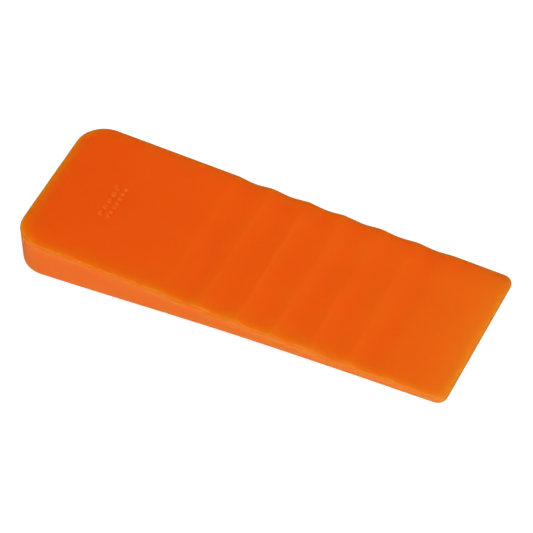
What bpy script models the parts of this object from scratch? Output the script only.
"""A felling wedge: one solid plastic moulding that is driven into a saw cut.

The wedge lies on its underside with its butt at -X and its thin tip at +X. Its upper
face slopes down from butt to tip and carries a row of shallow cross-wise scallops, which
grip the wood. Metres, +Z up, origin under the middle of the wedge.
"""

import math

import bmesh
import bpy

# Overall size of the moulding.
LENGTH = 0.200
WIDTH = 0.076
BUTT_THICKNESS = 0.019
TIP_THICKNESS = 0.0024

# Corners of the plan outline, and the roundings along the edges of the faces.
BUTT_CORNER_RADIUS = 0.0132
TIP_CORNER_RADIUS = 0.0045
UPPER_EDGE_RADIUS = 0.0010
LOWER_EDGE_RADIUS = 0.0020
LOWER_EDGE_SHARE = 0.4  # most of the wedge's thickness that a lower rounding may take

# Scallops in the upper face. As many as fit run from the first crest towards the tip.
FIRST_CREST = 0.0710  # from the butt
SCALLOP_PITCH = 0.0169
LEAST_TIP_FLAT = 0.026  # plain slope left between the last crest and the tip
SCALLOP_COUNT = int((LENGTH - LEAST_TIP_FLAT - FIRST_CREST) / SCALLOP_PITCH)
FIRST_SCALLOP_DEPTH = 0.0010
LAST_SCALLOP_DEPTH = 0.0008
CREST_SHARPNESS = 0.35  # 0 is a smooth wave, 1 has a crease along each crest

# The underside is hollow along its length, between a flat land at each end.
HOLLOW_DEPTH = 0.0012
BUTT_LAND = 0.014
TIP_LAND = 0.006

# Two rows of low raised dashes on the upper face, near the butt.
DASH_ROWS = (0.0286, 0.0322)  # from the butt
DASH_COUNTS = (5, 7)
DASH_ROW_SPAN = 0.0190
DASH_BREADTH = 0.0019
DASH_GAP = 0.0009
DASH_HEIGHT = 0.00025
DASH_ROOT = 0.0008  # how far a dash reaches down into the wedge

# Fineness of the curved stretches.
SCALLOP_STEPS = 10
HOLLOW_STEPS = 24
BUTT_CORNER_STEPS = 12
TIP_CORNER_STEPS = 6
EDGE_SEGMENTS = 4

CUTTER_OVERHANG = 0.01

WEDGE_NAME = "wedge_body"
WEDGE_COLOUR = (0.80, 0.10, 0.006, 1.0)
WEDGE_ROUGHNESS = 0.42


def clear_scene():
    """Remove the objects that a new file starts with."""
    for existing in list(bpy.data.objects):
        bpy.data.objects.remove(existing, do_unlink=True)


def make_collections():
    """Make one collection for the wedge and a hidden one for its helpers."""
    parts = bpy.data.collections.new("felling_wedge")
    helpers = bpy.data.collections.new("helpers")
    helpers.hide_render = True
    bpy.context.scene.collection.children.link(parts)
    bpy.context.scene.collection.children.link(helpers)
    return parts, helpers


def slope_height(x):
    """Height of the plain upper slope, x along from the butt."""
    return BUTT_THICKNESS + (TIP_THICKNESS - BUTT_THICKNESS) * x / LENGTH


def scallop_drop(x):
    """How far the upper face lies under the plain slope, x along from the butt."""
    along = (x - FIRST_CREST) / SCALLOP_PITCH
    if not 0.0 < along < SCALLOP_COUNT:
        return 0.0
    index = min(int(along), SCALLOP_COUNT - 1)
    fade = index / max(SCALLOP_COUNT - 1, 1)
    depth = FIRST_SCALLOP_DEPTH + (LAST_SCALLOP_DEPTH - FIRST_SCALLOP_DEPTH) * fade
    wave = math.sin(math.pi * (along - index))
    return depth * ((1 - CREST_SHARPNESS) * wave**2 + CREST_SHARPNESS * wave)


def upper_height(x):
    """Height of the upper face, x along from the butt."""
    return slope_height(x) - scallop_drop(x)


def lower_height(x):
    """Height of the underside, x along from the butt."""
    hollow_length = LENGTH - BUTT_LAND - TIP_LAND
    along = (x - BUTT_LAND) / hollow_length
    if not 0.0 < along < 1.0:
        return 0.0
    return HOLLOW_DEPTH * math.sin(math.pi * along) ** 2


def evenly(start, end, steps):
    """The values from start to end in equal steps, both ends included."""
    return [start + (end - start) * step / steps for step in range(steps + 1)]


def side_outline():
    """Outline of the wedge seen from the side, as (x, z) with x from the butt."""
    last_crest = FIRST_CREST + SCALLOP_COUNT * SCALLOP_PITCH
    upper = [0.0]
    upper += evenly(FIRST_CREST, last_crest, SCALLOP_COUNT * SCALLOP_STEPS)
    upper.append(LENGTH)
    lower = [0.0]
    lower += evenly(BUTT_LAND, LENGTH - TIP_LAND, HOLLOW_STEPS)
    lower.append(LENGTH)
    outline = [(x, lower_height(x)) for x in lower]
    outline += [(x, upper_height(x)) for x in reversed(upper)]
    return outline


def corner_arc(centre, radius, start_angle, steps):
    """Points of a quarter circle, turning anticlockwise from start_angle."""
    angles = evenly(start_angle, start_angle + math.pi / 2, steps)
    return [(centre[0] + radius * math.cos(a), centre[1] + radius * math.sin(a)) for a in angles]


def plan_outline():
    """Outline of the wedge seen from above, as (x, y) with x from the butt."""
    half = WIDTH / 2
    butt, tip = BUTT_CORNER_RADIUS, TIP_CORNER_RADIUS
    outline = corner_arc((LENGTH - tip, half - tip), tip, 0.0, TIP_CORNER_STEPS)
    outline += corner_arc((butt, half - butt), butt, math.pi / 2, BUTT_CORNER_STEPS)
    outline += corner_arc((butt, butt - half), butt, math.pi, BUTT_CORNER_STEPS)
    outline += corner_arc((LENGTH - tip, tip - half), tip, 1.5 * math.pi, TIP_CORNER_STEPS)
    return outline


def extruded(name, outline, thickness, collection, upright=False):
    """A flat outline given a thickness, centred on its plane, as a mesh object.

    An upright outline stands in the XZ plane and is thick along Y. Any other lies in the
    XY plane and is thick along Z. Either way its x is counted from the butt.
    """
    curve = bpy.data.curves.new(name + "_outline", "CURVE")
    curve.dimensions = "2D"
    curve.fill_mode = "BOTH"
    curve.extrude = thickness / 2
    spline = curve.splines.new("POLY")
    spline.points.add(len(outline) - 1)
    for point, (across, up) in zip(spline.points, outline):
        point.co = (across - LENGTH / 2, up, 0.0, 1.0)
    spline.use_cyclic_u = True
    drawn = bpy.data.objects.new(name + "_outline", curve)
    collection.objects.link(drawn)
    if upright:
        drawn.rotation_euler = (math.pi / 2, 0.0, 0.0)
    bpy.context.view_layer.update()
    graph = bpy.context.evaluated_depsgraph_get()
    mesh = bpy.data.meshes.new_from_object(drawn.evaluated_get(graph))
    mesh.transform(drawn.matrix_world)
    bpy.data.objects.remove(drawn, do_unlink=True)
    weld_and_turn_out(mesh)
    solid = bpy.data.objects.new(name, mesh)
    collection.objects.link(solid)
    return solid


def weld_and_turn_out(mesh):
    """Join the caps of an extruded outline to its sides and face everything outwards."""
    shape = bmesh.new()
    shape.from_mesh(mesh)
    bmesh.ops.remove_doubles(shape, verts=shape.verts, dist=1e-6)
    bmesh.ops.dissolve_limit(
        shape, angle_limit=math.radians(0.01), verts=shape.verts, edges=shape.edges
    )
    bmesh.ops.recalc_face_normals(shape, faces=shape.faces)
    shape.to_mesh(mesh)
    shape.free()


def apply_modifiers(solid):
    """Turn an object's modifiers into its mesh."""
    bpy.context.view_layer.update()
    graph = bpy.context.evaluated_depsgraph_get()
    mesh = bpy.data.meshes.new_from_object(solid.evaluated_get(graph))
    solid.modifiers.clear()
    solid.data = mesh


def combine(solid, other, operation):
    """Join another solid to this one, or keep only what the two share."""
    boolean = solid.modifiers.new(operation.lower(), "BOOLEAN")
    boolean.operation = operation
    boolean.solver = "EXACT"
    boolean.object = other
    apply_modifiers(solid)


def rim_radius(edge):
    """Rounding of an edge: 0 unless it lies on the rim of the upper face or underside.

    The rounding of the lower rim shrinks where the wedge is too thin for all of it.
    """
    if len(edge.link_faces) != 2:
        return 0.0
    tilts = sorted(abs(face.normal.z) for face in edge.link_faces)
    if tilts[0] > 0.5 or tilts[1] < 0.5:
        return 0.0
    middle = (edge.verts[0].co + edge.verts[1].co) / 2
    x = min(max(middle.x + LENGTH / 2, 0.0), LENGTH)
    thickness = upper_height(x) - lower_height(x)
    if middle.z > lower_height(x) + thickness / 2:
        return min(UPPER_EDGE_RADIUS, LOWER_EDGE_SHARE * thickness)
    return min(LOWER_EDGE_RADIUS, LOWER_EDGE_SHARE * thickness)


def round_rims(solid):
    """Round the rims of the upper face and the underside, each by its own radius."""
    widest = max(UPPER_EDGE_RADIUS, LOWER_EDGE_RADIUS)
    shape = bmesh.new()
    shape.from_mesh(solid.data)
    weights = shape.edges.layers.float.new("bevel_weight_edge")
    for edge in shape.edges:
        edge[weights] = rim_radius(edge) / widest
    shape.to_mesh(solid.data)
    shape.free()
    bevel = solid.modifiers.new("rims", "BEVEL")
    bevel.limit_method = "WEIGHT"
    bevel.width = widest
    bevel.segments = EDGE_SEGMENTS
    bevel.use_clamp_overlap = False
    apply_modifiers(solid)


def add_dashes(solid, helpers):
    """Raise the rows of dashes from the upper face, as part of the same moulding."""
    for row, count in zip(DASH_ROWS, DASH_COUNTS):
        length = (DASH_ROW_SPAN - (count - 1) * DASH_GAP) / count
        for index in range(count):
            y = -DASH_ROW_SPAN / 2 + length / 2 + index * (length + DASH_GAP)
            bpy.ops.mesh.primitive_cube_add(size=1.0)
            dash = bpy.context.object
            dash.name = f"dash_{count}_{index}"
            tilt = math.atan2(BUTT_THICKNESS - TIP_THICKNESS, LENGTH)
            dash.rotation_euler = (0.0, tilt, 0.0)
            middle = (DASH_HEIGHT - DASH_ROOT) / 2
            dash.location = (
                row - LENGTH / 2 + middle * math.sin(tilt),
                y,
                slope_height(row) + middle * math.cos(tilt),
            )
            dash.scale = (DASH_BREADTH, length, DASH_HEIGHT + DASH_ROOT)
            for holder in dash.users_collection:
                holder.objects.unlink(dash)
            helpers.objects.link(dash)
            combine(solid, dash, "UNION")
            bpy.data.objects.remove(dash, do_unlink=True)


def make_material():
    """Translucent orange plastic with a satin skin."""
    material = bpy.data.materials.new("orange_plastic")
    material.use_nodes = True
    shader = material.node_tree.nodes["Principled BSDF"]
    shader.inputs["Base Color"].default_value = WEDGE_COLOUR
    shader.inputs["Roughness"].default_value = WEDGE_ROUGHNESS
    shader.inputs["Metallic"].default_value = 0.0
    material.diffuse_color = WEDGE_COLOUR
    return material


def make_wedge(parts, helpers):
    """The whole moulding: its side outline, kept inside its plan outline and rounded."""
    wedge = extruded(WEDGE_NAME, side_outline(), WIDTH + 2 * CUTTER_OVERHANG, parts, upright=True)
    keep = extruded("plan_keep", plan_outline(), 4 * BUTT_THICKNESS, helpers)
    keep.hide_render = True
    keep.display_type = "WIRE"
    combine(wedge, keep, "INTERSECT")
    weld_and_turn_out(wedge.data)
    round_rims(wedge)
    add_dashes(wedge, helpers)
    wedge.data.materials.clear()
    wedge.data.materials.append(make_material())
    wedge.data.shade_smooth()
    wedge.data.set_sharp_from_angle(angle=math.radians(35))
    return wedge


def main():
    """Build the wedge in an empty scene."""
    clear_scene()
    parts, helpers = make_collections()
    make_wedge(parts, helpers)


main()
